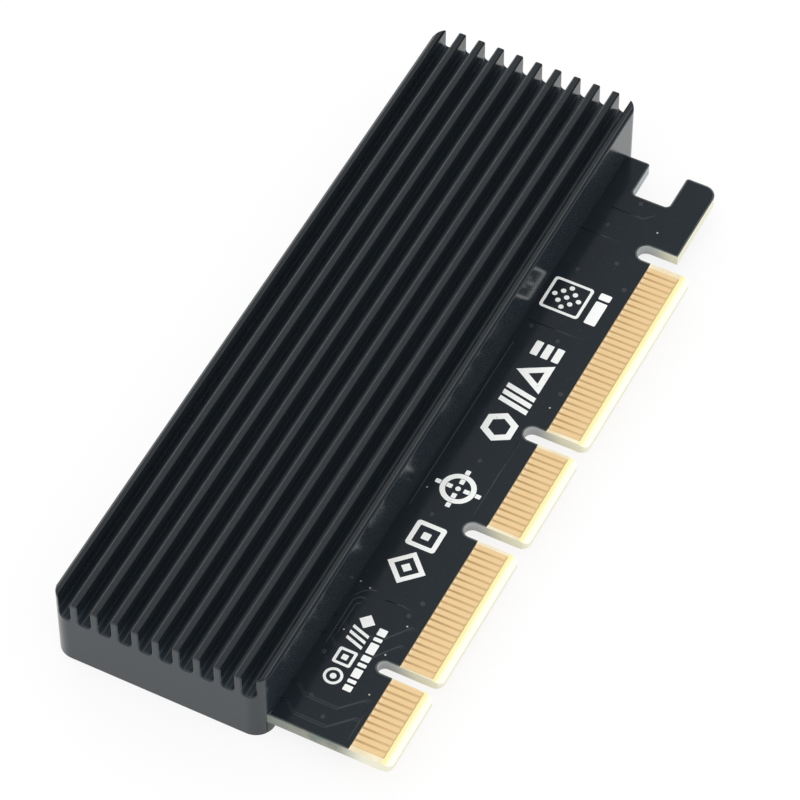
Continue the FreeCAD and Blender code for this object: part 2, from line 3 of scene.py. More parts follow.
import bmesh
import bpy
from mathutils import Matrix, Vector


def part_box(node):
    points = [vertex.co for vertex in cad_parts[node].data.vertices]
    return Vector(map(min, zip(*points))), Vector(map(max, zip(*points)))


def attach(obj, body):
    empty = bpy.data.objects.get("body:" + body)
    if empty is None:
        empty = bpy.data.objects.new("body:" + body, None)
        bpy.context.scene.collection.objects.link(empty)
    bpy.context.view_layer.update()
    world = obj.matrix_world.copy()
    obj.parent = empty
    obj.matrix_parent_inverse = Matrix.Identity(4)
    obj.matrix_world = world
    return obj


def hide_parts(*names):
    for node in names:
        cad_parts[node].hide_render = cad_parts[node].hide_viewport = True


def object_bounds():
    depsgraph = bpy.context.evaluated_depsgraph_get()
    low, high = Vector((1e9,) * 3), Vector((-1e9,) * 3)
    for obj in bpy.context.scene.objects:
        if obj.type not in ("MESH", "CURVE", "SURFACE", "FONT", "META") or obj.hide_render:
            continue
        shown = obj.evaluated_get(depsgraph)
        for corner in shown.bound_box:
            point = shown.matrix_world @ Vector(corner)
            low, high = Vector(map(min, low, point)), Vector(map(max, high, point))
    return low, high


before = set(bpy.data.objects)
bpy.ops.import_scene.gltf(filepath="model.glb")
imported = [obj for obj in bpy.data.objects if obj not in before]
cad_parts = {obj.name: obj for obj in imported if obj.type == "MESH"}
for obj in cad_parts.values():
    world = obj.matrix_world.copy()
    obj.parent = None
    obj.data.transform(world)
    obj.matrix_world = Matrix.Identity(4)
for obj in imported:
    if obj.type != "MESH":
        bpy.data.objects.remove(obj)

cad_low, cad_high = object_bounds()
MM = 0.001


# ---- Finned shell ---------------------------------------------------------------------------
# The upper half of the housing and the module's heat sink: one aluminium extrusion with eleven
# fins, its bay milled out from below. Blasted, then anodised black: a thin satin skin that
# rubs off first along the rounded fin corners. Its colour also carries painted shade on the fin
# tops and sides, painted light low in the grooves and painted highlights along the fin corners.

shell_low, shell_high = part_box("finned_shell")
GROOVE_FLOOR = 8.0 * MM
OUTER_FIN_ROUND = 0.5 * MM
FIN_CORNER = 0.23 * MM
PLAN_CORNER = 2.6 * MM
SHARP_CORNER = math.radians(40)
FLAT_JOIN = math.radians(0.6)
WELD_GAP = 0.001 * MM
PLAN_SLACK = 0.02 * MM


def finish_of(name):
    """An empty finish: the material, its node tree and its Principled shader."""
    finish = bpy.data.materials.new(name)
    finish.use_nodes = True
    return finish, finish.node_tree, finish.node_tree.nodes["Principled BSDF"]


def add(tree, kind, inputs=(), **fields):
    """One node. Fields are its own settings; inputs are plain values or sockets to wire in."""
    made = tree.nodes.new("ShaderNode" + kind)
    for field, value in fields.items():
        setattr(made, field, value)
    for socket, value in dict(inputs).items():
        if isinstance(value, bpy.types.NodeSocket):
            tree.links.new(value, made.inputs[socket])
        else:
            made.inputs[socket].default_value = value
    return made


def sums(tree, operation, *terms):
    """A Math node over sockets and plain numbers."""
    return add(tree, "Math", enumerate(terms), operation=operation).outputs[0]


def times(tree, first, *others):
    """Masks multiplied together."""
    for other in others:
        first = sums(tree, "MULTIPLY", first, other)
    return first


def between(tree, value, low, high, first=0.0, last=1.0):
    """A smooth step: first below low, last above high."""
    return add(
        tree, "MapRange",
        {"Value": value, "From Min": low, "From Max": high, "To Min": first, "To Max": last},
        interpolation_type="SMOOTHSTEP",
    ).outputs["Result"]


def blend(tree, amount, first, second):
    """The colour between first and second that a mask asks for."""
    made = tree.nodes.new("ShaderNodeMix")
    made.data_type = "RGBA"
    tree.links.new(amount, made.inputs[0])
    for socket, colour in ((made.inputs[6], first), (made.inputs[7], second)):
        if isinstance(colour, bpy.types.NodeSocket):
            tree.links.new(colour, socket)
        else:
            socket.default_value = (*colour, 1.0)
    return made.outputs[2]


def cloud(tree, where, scale, detail=2.0, roughness=0.5):
    """Noise from 0 to 1 over the given place. Its scale is in cells a metre, or a socket."""
    return add(
        tree, "TexNoise",
        {"Vector": where, "Scale": scale, "Detail": detail, "Roughness": roughness},
    ).outputs["Fac"]


def place(tree, stretch=(1.0, 1.0, 1.0)):
    """The point on the surface in metres, squeezed along each axis by stretch."""
    point = add(tree, "TexCoord").outputs["Object"]
    if stretch == (1.0, 1.0, 1.0):
        return point
    return add(tree, "VectorMath", {0: point, 1: stretch}, operation="MULTIPLY").outputs[0]


def effect(name, inputs, outputs):
    """An effect that several finishes share: a node group with named sockets."""
    group = bpy.data.node_groups.new(name, "ShaderNodeTree")
    for label, kind, value in inputs:
        socket = group.interface.new_socket(name=label, in_out="INPUT", socket_type=kind)
        socket.default_value = value
    for label, kind in outputs:
        group.interface.new_socket(name=label, in_out="OUTPUT", socket_type=kind)
    given = group.nodes.new("NodeGroupInput").outputs
    return group, given, group.nodes.new("NodeGroupOutput").inputs


def use(tree, group, inputs=()):
    """Places a shared effect in a finish and gives its output sockets."""
    made = tree.nodes.new("ShaderNodeGroup")
    made.node_tree = group
    for socket, value in dict(inputs).items():
        if isinstance(value, bpy.types.NodeSocket):
            tree.links.new(value, made.inputs[socket])
        else:
            made.inputs[socket].default_value = value
    return made.outputs


def relief(tree, shader, height, distance, strength=1.0):
    """Bump on a finish, from a height mask and its real depth in metres."""
    bump = add(tree, "Bump", {"Height": height, "Distance": distance, "Strength": strength})
    tree.links.new(bump.outputs["Normal"], shader.inputs["Normal"])


def wire(tree, shader, **sockets):
    """Wires masks and colours to the shader's inputs, named with _ for a space."""
    for label, source in sockets.items():
        tree.links.new(source, shader.inputs[label.replace("_", " ")])


def settings(shader, **values):
    """Plain values on the shader's own inputs."""
    for label, value in values.items():
        shader.inputs[label.replace("_", " ")].default_value = value


# fine shot marks, with wide soft patches where the blast dwelt
blasted_grain, given, out = effect(
    "Blasted Grain",
    [("Grain Scale", "NodeSocketFloat", 7000.0), ("Patch Scale", "NodeSocketFloat", 160.0)],
    [("Height", "NodeSocketFloat"), ("Patches", "NodeSocketFloat")],
)
spot = place(blasted_grain)
blasted_grain.links.new(cloud(blasted_grain, spot, given["Grain Scale"], 3.0, 0.6), out["Height"])
blasted_grain.links.new(cloud(blasted_grain, spot, given["Patch Scale"], 2.0, 0.5), out["Patches"])

# bare, lighter metal on rounded corners: where the face looks along none of the axes
worn_corners, given, out = effect(
    "Worn Corners",
    [("Break Scale", "NodeSocketFloat", 900.0), ("Spread", "NodeSocketFloat", 0.5)],
    [("Wear", "NodeSocketFloat")],
)
facing = add(worn_corners, "NewGeometry").outputs["True Normal"]
facing = add(worn_corners, "VectorMath", {0: facing}, operation="ABSOLUTE").outputs[0]
facing = add(worn_corners, "SeparateXYZ", {0: facing}).outputs
squareness = sums(worn_corners, "MAXIMUM", facing[0], facing[1])
squareness = sums(worn_corners, "MAXIMUM", squareness, facing[2])
corner = between(worn_corners, squareness, 0.80, 0.98, 1.0, 0.0)
breaks = cloud(worn_corners, place(worn_corners), given["Break Scale"], 3.0, 0.6)
low_break = sums(worn_corners, "SUBTRACT", 0.85, given["Spread"])
broken = add(
    worn_corners, "MapRange", {"Value": breaks, "From Min": low_break, "From Max": 0.75}
).outputs["Result"]
worn_corners.links.new(times(worn_corners, corner, broken), out["Wear"])

# dust that settles on faces that look up
settled_dust, given, out = effect(
    "Settled Dust",
    [("Amount", "NodeSocketFloat", 0.1), ("Speck Scale", "NodeSocketFloat", 1500.0)],
    [("Dust", "NodeSocketFloat")],
)
facing = add(settled_dust, "NewGeometry").outputs["Normal"]
facing_up = add(settled_dust, "SeparateXYZ", {0: facing}).outputs[2]
upward = between(settled_dust, facing_up, 0.5, 0.95)
specks = cloud(settled_dust, place(settled_dust), given["Speck Scale"], 4.0, 0.7)
specks = between(settled_dust, specks, 0.60, 0.72)
settled_dust.links.new(times(settled_dust, specks, upward, given["Amount"]), out["Dust"])

ANODISE_BLACK = (0.0160, 0.0225, 0.0285)
ANODISE_PATCH = (0.0200, 0.0270, 0.0335)
# painted shade for the fin tops and fin sides, and painted light for low in the grooves
PAINTED_DARK_TOP = (0.0015, 0.0035, 0.0065)
PAINTED_DARK_SIDE = (0.0092, 0.0135, 0.0178)
PAINTED_LIFT_LOW = (0.0690, 0.0910, 0.1120)
DIE_MARK = (0.029, 0.036, 0.042)
# bare metal where rubbed, and on the shell also the colour of the painted highlights
RUBBED_METAL_AND_HIGHLIGHT = (0.066, 0.071, 0.078)
DUST_GREY = (0.16, 0.16, 0.155)
GRAIN_DEPTH = 0.012 * MM
ANODISE_IOR = 1.47

anodised_extrusion, tree, shader = finish_of("black anodised extrusion")
grain = use(tree, blasted_grain, {"Grain Scale": 6500.0, "Patch Scale": 140.0})
wear = use(tree, worn_corners, {"Break Scale": 700.0, "Spread": 0.55})["Wear"]
dust = use(tree, settled_dust, {"Amount": 0.12, "Speck Scale": 2600.0})["Dust"]
point = add(tree, "SeparateXYZ", {0: place(tree)}).outputs
# the die leaves faint lines along the fins; one painted highlight line runs where the outer fin
# turns over
die_lines = cloud(tree, place(tree, (25.0, 3200.0, 3200.0)), 1.0, 2.0, 0.5)
highlight_line_y = shell_low.y + OUTER_FIN_ROUND * 0.9
off_highlight_line = sums(tree, "ABSOLUTE", sums(tree, "SUBTRACT", point[1], highlight_line_y))
on_top = between(tree, point[2], shell_high.z - 0.20 * MM, shell_high.z - 0.10 * MM)
# painted highlight: a lighter line on the outer fin's top, where it starts to turn over
turn = times(tree, between(tree, off_highlight_line, 0.03 * MM, 0.11 * MM, 1.0, 0.0), on_top, 0.55)
# painted shade darkens the fins' open tops and their sides, and painted light lifts the groove
# floors and the lowest 2 mm of the sides
facing = add(tree, "SeparateXYZ", {0: add(tree, "NewGeometry").outputs["True Normal"]}).outputs
not_an_end = between(tree, sums(tree, "ABSOLUTE", facing[0]), 0.3, 0.6, 1.0, 0.0)
shell_middle = (shell_low.y + shell_high.y) / 2
shell_reach = (shell_high.y - shell_low.y) / 2
off_middle = sums(tree, "ABSOLUTE", sums(tree, "SUBTRACT", point[1], shell_middle))
inside = between(tree, off_middle, shell_reach - 0.30 * MM, shell_reach - 0.15 * MM, 1.0, 0.0)
raised = between(tree, point[2], GROOVE_FLOOR - 0.10 * MM, GROOVE_FLOOR - 0.05 * MM)
fin_area = times(tree, not_an_end, inside, raised)
above_floor = sums(tree, "SUBTRACT", point[2], GROOVE_FLOOR)
painted_lift_band = times(
    tree,
    between(tree, above_floor, 0.38 * MM, 0.95 * MM, 0.30, 1.0),
    between(tree, above_floor, 0.80 * MM, 2.00 * MM, 1.0, 0.0),
)
skin = blend(tree, grain["Patches"], ANODISE_BLACK, ANODISE_PATCH)
painted_fin_shading = blend(tree, on_top, blend(tree, painted_lift_band, PAINTED_DARK_SIDE, PAINTED_LIFT_LOW), PAINTED_DARK_TOP)
skin = blend(tree, fin_area, skin, painted_fin_shading)
skin = blend(tree, times(tree, die_lines, 0.26), skin, DIE_MARK)
# handling has rubbed the corners bare; those that face away from the contact edge also carry a
# painted highlight in the same lighter colour, and those that face it stay dark
wear_and_highlight = times(tree, wear, between(tree, facing[1], -0.35, -0.15), on_top)
skin = blend(tree, sums(tree, "MAXIMUM", wear_and_highlight, turn), skin, RUBBED_METAL_AND_HIGHLIGHT)
skin = blend(tree, dust, skin, DUST_GREY)
rough = sums(tree, "MULTIPLY_ADD", grain["Patches"], 0.10, 0.13)
wire(tree, shader, Base_Color=skin, Roughness=rough)
settings(shader, IOR=ANODISE_IOR)
ribs = sums(tree, "MULTIPLY_ADD", die_lines, 0.4, grain["Height"])
relief(tree, shader, ribs, GRAIN_DEPTH, 0.5)


def piece(name, shape, finishes, smooth=False):
    """A new piece of the card: it rides on the card's one body."""
    mesh = bpy.data.meshes.new(name)
    shape.to_mesh(mesh)
    shape.free()
    for finish in finishes:
        mesh.materials.append(finish)
    for face in mesh.polygons:
        face.use_smooth = smooth
    made = bpy.data.objects.new(name, mesh)
    bpy.context.scene.collection.objects.link(made)
    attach(made, "root")
    return made


def rounded_again(name, node, finish, radius, steps, chosen):
    """The CAD piece once more, with the sharp corners that chosen picks rounded off as
    blasting leaves them. It takes the CAD piece's place."""
    shape = bmesh.new()
    shape.from_mesh(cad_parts[node].data)
    bmesh.ops.remove_doubles(shape, verts=shape.verts, dist=WELD_GAP)
    bmesh.ops.dissolve_limit(shape, angle_limit=FLAT_JOIN, verts=shape.verts, edges=shape.edges)
    sharp = [
        edge for edge in shape.edges
        if len(edge.link_faces) == 2 and edge.calc_face_angle() > SHARP_CORNER
        and chosen(edge.verts[0].co, edge.verts[1].co)
    ]
    bmesh.ops.bevel(
        shape, geom=sharp, offset=radius, segments=steps, profile=0.5,
        affect="EDGES", clamp_overlap=False,
    )
    low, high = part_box(node)
    for vert in shape.verts:
        vert.co = [min(max(at, least), most) for at, least, most in zip(vert.co, low, high)]
    for edge in shape.edges:
        edge.smooth = len(edge.link_faces) == 2 and edge.calc_face_angle() < SHARP_CORNER
    made = piece(name, shape, [finish], smooth=True)
    even = made.modifiers.new("flat faces stay flat", "WEIGHTED_NORMAL")
    even.keep_sharp = True
    even.weight = 50
    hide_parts(node)
    return made


def on_fins(a, b):
    """Corners of the fins and grooves. The foot keeps the sharp edge of the saw cut."""
    return min(a.z, b.z) > GROOVE_FLOOR - FIN_CORNER


def true_plan_corners(made):
    """Shades the shell's four upright corners as the quarter cylinders that they are."""
    shaded = made.evaluated_get(bpy.context.evaluated_depsgraph_get()).to_mesh()
    normals = [corner.vector.copy() for corner in shaded.corner_normals]
    mesh = made.data
    axis_x = shell_high.x - PLAN_CORNER
    axis_y = shell_reach - PLAN_CORNER
    for face in mesh.polygons:
        arms = []
        for index in face.vertices:
            at = mesh.vertices[index].co - Vector((0.0, shell_middle, 0.0))
            axis = Vector((math.copysign(axis_x, at.x), math.copysign(axis_y, at.y), at.z))
            arms.append(at - axis)
        if all(
            abs(arm.length - PLAN_CORNER) < PLAN_SLACK and face.normal.dot(arm.normalized()) > 0.9
            for arm in arms
        ):
            for corner, arm in zip(face.loop_indices, arms):
                normals[corner] = arm.normalized()
    made.modifiers.clear()
    mesh.normals_split_custom_set(normals)


true_plan_corners(rounded_again(
    "finned_shell_rounded", "finned_shell", anodised_extrusion,
    FIN_CORNER, 3, on_fins,
))


# ---- Bottom cover and its screws ------------------------------------------------------------
# A milled aluminium plate closes the bay from below, anodised like the shell, with a straight
# cutter grain. Four black countersunk machine screws hold it against the shell.

brushed_plate, tree, shader = finish_of("black anodised plate")
grain = use(tree, blasted_grain, {"Grain Scale": 8000.0, "Patch Scale": 90.0})
wear = use(tree, worn_corners, {"Break Scale": 500.0, "Spread": 0.5})["Wear"]
cutter_lines = cloud(tree, place(tree, (60.0, 2600.0, 60.0)), 1.0, 3.0, 0.6)
skin = blend(tree, cutter_lines, ANODISE_BLACK, (0.027, 0.030, 0.034))
skin = blend(tree, times(tree, wear, 0.6), skin, RUBBED_METAL_AND_HIGHLIGHT)
rough = sums(tree, "MULTIPLY_ADD", cutter_lines, 0.14, 0.26)
wire(tree, shader, Base_Color=skin, Roughness=rough)
settings(shader, IOR=ANODISE_IOR)
scored = sums(tree, "MULTIPLY_ADD", grain["Height"], 0.4, cutter_lines)
relief(tree, shader, scored, 0.01 * MM, 0.5)


def give_finish(node, finish):
    """Paints a CAD node with one finish."""
    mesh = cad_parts[node].data
    mesh.materials.clear()
    mesh.materials.append(finish)


give_finish("bottom_cover", brushed_plate)

# rings that a lathe tool leaves round an upright axis
turning_rings, given, out = effect(
    "Turning Rings",
    [("Centre", "NodeSocketVector", (0.0, 0.0, 0.0)), ("Ring Scale", "NodeSocketFloat", 9000.0)],
    [("Rings", "NodeSocketFloat")],
)
arm = {0: place(turning_rings), 1: given["Centre"]}
arm = add(turning_rings, "VectorMath", arm, operation="SUBTRACT").outputs[0]
arm = add(turning_rings, "VectorMath", {0: arm, 1: (1.0, 1.0, 0.0)}, operation="MULTIPLY").outputs[0]
reach = add(turning_rings, "VectorMath", {0: arm}, operation="LENGTH").outputs["Value"]
wave = sums(turning_rings, "SINE", times(turning_rings, reach, given["Ring Scale"]))
turning_rings.links.new(sums(turning_rings, "MULTIPLY_ADD", wave, 0.5, 0.5), out["Rings"])

screws_low, screws_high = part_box("cover_screws")
HEAD_RADIUS = 1.9 * MM

black_zinc, tree, shader = finish_of("black zinc")
# each screw's own axis: its corner of the plate
middle = (screws_low + screws_high) / 2
half = Vector((screws_high.x - screws_low.x, screws_high.y - screws_low.y, 0.0)) / 2
point = place(tree)
side = add(tree, "VectorMath", {0: point, 1: middle}, operation="SUBTRACT").outputs[0]
side = add(tree, "VectorMath", {0: side}, operation="SIGN").outputs[0]
axis = add(
    tree, "VectorMath",
    {0: side, 1: (half.x - HEAD_RADIUS, half.y - HEAD_RADIUS, 0.0), 2: middle},
    operation="MULTIPLY_ADD",
).outputs[0]
rings = use(tree, turning_rings, {"Centre": axis, "Ring Scale": 26000.0})["Rings"]
wear = use(tree, worn_corners, {"Break Scale": 1200.0, "Spread": 0.6})["Wear"]
stain = cloud(tree, point, 900.0, 3.0, 0.6)
skin = blend(tree, stain, (0.016, 0.016, 0.018), (0.035, 0.036, 0.040))
skin = blend(tree, wear, skin, (0.22, 0.21, 0.20))
wire(tree, shader, Base_Color=skin, Roughness=between(tree, stain, 0.3, 0.7, 0.30, 0.46))
settings(shader, Metallic=0.55)
relief(tree, shader, rings, 0.006 * MM, 0.6)
give_finish("cover_screws", black_zinc)


# ---- Circuit board --------------------------------------------------------------------------
# Glass fibre laminate, 1.6 mm thick, its notches milled and its short end snapped from the panel.
# Cut edges show the pressed plies, paler towards the contact edge, chamfered on both faces.
# Painted shade turns the short end a darker green near the housing.

board_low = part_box("circuit_board")[0]
contact_low, contact_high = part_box("edge_contacts_top")
board_top = contact_low.z
BEVEL_LENGTH = 1.3 * MM
SOFT_LINE = 0.02 * MM
PLY = 0.2 * MM
GROUP_SPACE = 0.5 * MM
HOOK_SIDE = 35.1 * MM
# changes in the cut along the short end, by distance from the contact edge: where each one
# starts and where it is complete
SNAPPED_FROM = (2.8 * MM, 7.4 * MM)
PALE_UP_TO = (3.2 * MM, 7.8 * MM)
# painted shade: the short end turns darker green towards the housing
SHADE_NEAR_HOUSING_FROM = (11.5 * MM, 16.0 * MM)

# the groups of contacts, from the gaps between them where the board is notched
contact_xs = sorted(v.co.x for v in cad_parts["edge_contacts_top"].data.vertices)
breaks = [
    (before, after) for before, after in zip(contact_xs, contact_xs[1:])
    if after - before > 2 * GROUP_SPACE
]
group_starts = [contact_xs[0]] + [after for before, after in breaks]
group_ends = [before for before, after in breaks] + [contact_xs[-1]]
contact_groups = list(zip(group_starts, group_ends))

cut_laminate, tree, shader = finish_of("cut glass fibre laminate")
spot = place(tree)
point = add(tree, "SeparateXYZ", {0: spot}).outputs
facing = add(tree, "SeparateXYZ", {0: add(tree, "NewGeometry").outputs["True Normal"]}).outputs
flat = between(tree, sums(tree, "ABSOLUTE", facing[2]), 0.985, 0.999)
sloped = between(tree, sums(tree, "ABSOLUTE", facing[2]), 0.5, 0.8)
from_edge = sums(tree, "SUBTRACT", point[1], board_low.y)
in_bevel = between(tree, from_edge, BEVEL_LENGTH - SOFT_LINE, BEVEL_LENGTH + SOFT_LINE, 1.0, 0.0)
# plies, with bundles of fibre showing end-on in each
bundles = cloud(tree, place(tree, (900.0, 900.0, 5000.0)), 1.0, 3.0, 0.6)
plies = sums(tree, "SINE", times(tree, point[2], math.tau / PLY))
plies = sums(tree, "MULTIPLY_ADD", plies, 0.25, bundles)
smear = cloud(tree, spot, 260.0, 3.0, 0.55)
milled = blend(tree, smear, (0.395, 0.430, 0.460), (0.520, 0.540, 0.540))
# painted shade near the housing pushes the short end towards its darker green
painted_shade_near_housing = between(tree, from_edge, *SHADE_NEAR_HOUSING_FROM, 0.0, 0.7)
grey_less_painted_shade = sums(tree, "SUBTRACT", between(tree, smear, 0.36, 0.56), painted_shade_near_housing)
snapped = blend(tree, grey_less_painted_shade, (0.150, 0.210, 0.178), (0.330, 0.320, 0.270))
snapped = blend(tree, times(tree, plies, 0.35), snapped, (0.150, 0.165, 0.140))
short_end = between(tree, point[0], board_low.x + 0.3 * MM, board_low.x + 0.6 * MM, 1.0, 0.0)
snapped_end = times(tree, short_end, between(tree, from_edge, *SNAPPED_FROM))
edge = blend(tree, snapped_end, milled, snapped)
edge = blend(tree, between(tree, from_edge, *PALE_UP_TO, 1.0, 0.0), edge, (0.820, 0.800, 0.640))
# the open faces between the contacts, brown with painted shade and painted reflection of the gold,
# and the thin strip that the mask leaves bare
mottle = between(tree, smear, 0.35, 0.65)
shaded_gaps = blend(tree, mottle, (0.480, 0.290, 0.110), (0.600, 0.385, 0.165))
tongue_face = blend(tree, mottle, (0.800, 0.680, 0.440), (0.880, 0.800, 0.600))
strip_face = blend(tree, mottle, (0.050, 0.062, 0.060), (0.095, 0.106, 0.102))
among = 0.0
for first, last in contact_groups:
    past_first = between(tree, point[0], first - SOFT_LINE / 2, first + SOFT_LINE / 2)
    before_last = between(tree, point[0], last - SOFT_LINE / 2, last + SOFT_LINE / 2, 1.0, 0.0)
    among = sums(tree, "MULTIPLY_ADD", past_first, before_last, among)
# the painted shade in the gaps between the contacts fades towards the bevel
outward = between(tree, point[1], board_low.y + BEVEL_LENGTH, contact_high.y, 0.55, 0.0)
shaded_gaps = blend(tree, outward, shaded_gaps, (0.740, 0.540, 0.280))
shaded_gaps = blend(tree, among, tongue_face, shaded_gaps)
tongue_end = contact_high.y + 0.05 * MM
in_tongue = between(tree, point[1], tongue_end, tongue_end + 0.05 * MM, 1.0, 0.0)
on_card_side = between(tree, point[0], HOOK_SIDE - 0.1 * MM, HOOK_SIDE + 0.1 * MM, 1.0, 0.0)
face = blend(tree, times(tree, in_tongue, on_card_side), strip_face, shaded_gaps)
down_bevel = between(tree, from_edge, 0.2 * MM, BEVEL_LENGTH)
bevel = blend(tree, down_bevel, (0.960, 0.955, 0.830), (0.900, 0.810, 0.360))
colour = blend(tree, flat, edge, face)
colour = blend(tree, times(tree, in_bevel, sloped), colour, bevel)
wire(tree, shader, Base_Color=colour, Roughness=between(tree, plies, 0.1, 0.9, 0.45, 0.62))
settings(shader, IOR=1.5)
relief(tree, shader, plies, 0.02 * MM, 0.5)
give_finish("circuit_board", cut_laminate)


# ---- Solder mask ----------------------------------------------------------------------------
# Black resin, printed over both faces and baked, held back a little from every cut edge and
# stopped short of the contacts. It is glossy and follows the copper under it.

MASK_THICKNESS = 0.03 * MM
MASK_SETBACK = 0.22 * MM
MASK_STOP = 0.06 * MM

# slow waves where the wet resin levelled, and fine pinholes
levelled_resin, given, out = effect(
    "Levelled Resin",
    [("Wave Scale", "NodeSocketFloat", 420.0)],
    [("Height", "NodeSocketFloat"), ("Cloud", "NodeSocketFloat")],
)
waves = cloud(levelled_resin, place(levelled_resin), given["Wave Scale"], 2.0, 0.5)
weave = cloud(levelled_resin, place(levelled_resin), 3600.0, 1.0, 0.5)
levelled_resin.links.new(sums(levelled_resin, "MULTIPLY_ADD", weave, 0.12, waves), out["Height"])
levelled_resin.links.new(waves, out["Cloud"])


def mask_finish(name, dark, light, specular):
    """Black mask over bare laminate or, a shade lighter, over copper."""
    finish, tree, shader = finish_of(name)
    resin = use(tree, levelled_resin, {"Wave Scale": 380.0})
    dust = use(tree, settled_dust, {"Amount": 0.10, "Speck Scale": 3200.0})["Dust"]
    colour = blend(tree, resin["Cloud"], dark, light)
    colour = blend(tree, dust, colour, (0.20, 0.21, 0.21))
    rough = between(tree, resin["Cloud"], 0.3, 0.7, 0.13, 0.19)
    wire(tree, shader, Base_Color=colour, Roughness=rough)
    settings(shader, IOR=1.5, Specular_IOR_Level=specular)
    relief(tree, shader, resin["Height"], 0.012 * MM, 0.35)
    return finish


solder_mask = mask_finish(
    "black solder mask", (0.0100, 0.0145, 0.0195), (0.0125, 0.0178, 0.0238), 0.20,
)
mask_on_copper = mask_finish(
    "black solder mask on copper", (0.016, 0.020, 0.026), (0.020, 0.025, 0.032), 0.46,
)


def mask_sheet(name, face_z, outward):
    """The mask on one face of the board, from the board's own outline."""
    shape = bmesh.new()
    shape.from_mesh(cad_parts["circuit_board"].data)
    bmesh.ops.remove_doubles(shape, verts=shape.verts, dist=WELD_GAP)
    spare = [
        face for face in shape.faces
        if face.normal.z * outward < 0.999 or abs(face.calc_center_median().z - face_z) > WELD_GAP
    ]
    bmesh.ops.delete(shape, geom=spare, context="FACES")
    rim = bmesh.ops.inset_region(
        shape, faces=shape.faces[:], thickness=MASK_SETBACK,
        use_boundary=True, use_even_offset=True,
    )["faces"]
    bmesh.ops.delete(shape, geom=rim, context="FACES")
    stop_y = contact_high.y + MASK_STOP
    for spot, across in (
        ((0.0, stop_y, 0.0), (0.0, 1.0, 0.0)),
        ((0.0, shell_low.y, 0.0), (0.0, 1.0, 0.0)),
        ((HOOK_SIDE, 0.0, 0.0), (1.0, 0.0, 0.0)),
    ):
        bmesh.ops.bisect_plane(
            shape, geom=shape.verts[:] + shape.edges[:] + shape.faces[:],
            plane_co=spot, plane_no=across,
        )
    spare = []
    for face in shape.faces:
        middle = face.calc_center_median()
        if middle.y > shell_low.y or (middle.y < stop_y and middle.x < HOOK_SIDE):
            spare.append(face)
    bmesh.ops.delete(shape, geom=spare, context="FACES")
    raised = bmesh.ops.extrude_face_region(shape, geom=shape.faces[:])["geom"]
    bmesh.ops.translate(
        shape, verts=[v for v in raised if isinstance(v, bmesh.types.BMVert)],
        vec=(0.0, 0.0, MASK_THICKNESS * outward),
    )
    bmesh.ops.recalc_face_normals(shape, faces=shape.faces)
    made = piece(name, shape, [solder_mask])
    return made


mask_sheet("solder_mask_top", board_top, 1.0)
mask_sheet("solder_mask_bottom", board_low.z, -1.0)


# ---- Copper under the mask ------------------------------------------------------------------
# Etched tracks, poured areas and via lands lift the mask by their own thickness. The pairs run
# from the short end's contacts to the module's socket; longer lines feed power along the card.

TRACK_LIFT = 0.022 * MM
SHARPEST_MITRE = 0.4
# share of the track's width, share of its lift
TRACK_SHAPE = ((-0.5, 0.0), (-0.36, 0.72), (-0.14, 1.0), (0.14, 1.0), (0.36, 0.72), (0.5, 0.0))


def lay_track(shape, points, width, lift, level, outward):
    """One track: a low rounded bead along straight runs, mitred where it turns."""
    points = [Vector((x * MM, y * MM)) for x, y in points]
    rows = []
    for place_in_line, here in enumerate(points):
        before = points[max(place_in_line - 1, 0)]
        after = points[min(place_in_line + 1, len(points) - 1)]
        into = (here - before).normalized() if here != before else (after - here).normalized()
        onward = (after - here).normalized() if after != here else into
        along = (into + onward).normalized()
        across = Vector((-along.y, along.x)) / max(along.dot(into), SHARPEST_MITRE)
        rows.append([
            shape.verts.new((
                here.x + across.x * side * width * MM,
                here.y + across.y * side * width * MM,
                level + outward * height * lift,
            ))
            for side, height in TRACK_SHAPE
        ])
    for row, following in zip(rows, rows[1:]):
        for k in range(len(TRACK_SHAPE) - 1):
            corners = (row[k], row[k + 1], following[k + 1], following[k])
            shape.faces.new(corners if outward < 0 else corners[::-1])
    for row in (rows[0], rows[-1]):
        shape.faces.new(row)


# share of the land's radius, share of its lift
LAND_SHAPE = ((1.0, 0.0), (0.86, 0.8), (0.62, 1.0), (0.34, 0.9), (0.16, 0.25))
LAND_RADIUS = 0.34


def lay_land(shape, x, y, radius, lift, level, outward, sides=20):
    """A via land: a low round button with a dimple where the mask sinks into the hole."""
    rings = []
    for share, height in LAND_SHAPE:
        rings.append([
            shape.verts.new((
                (x + radius * share * math.cos(math.tau * k / sides)) * MM,
                (y + radius * share * math.sin(math.tau * k / sides)) * MM,
                level + outward * height * lift,
            ))
            for k in range(sides)
        ])
    for ring, inner in zip(rings, rings[1:]):
        for k in range(sides):
            corners = (ring[k], ring[(k + 1) % sides], inner[(k + 1) % sides], inner[k])
            shape.faces.new(corners if outward > 0 else corners[::-1])
    shape.faces.new(rings[-1] if outward > 0 else rings[-1][::-1])


mask_level = board_top + MASK_THICKNESS
WALL_Y = shell_low.y / MM + 0.02

top_copper = bmesh.new()
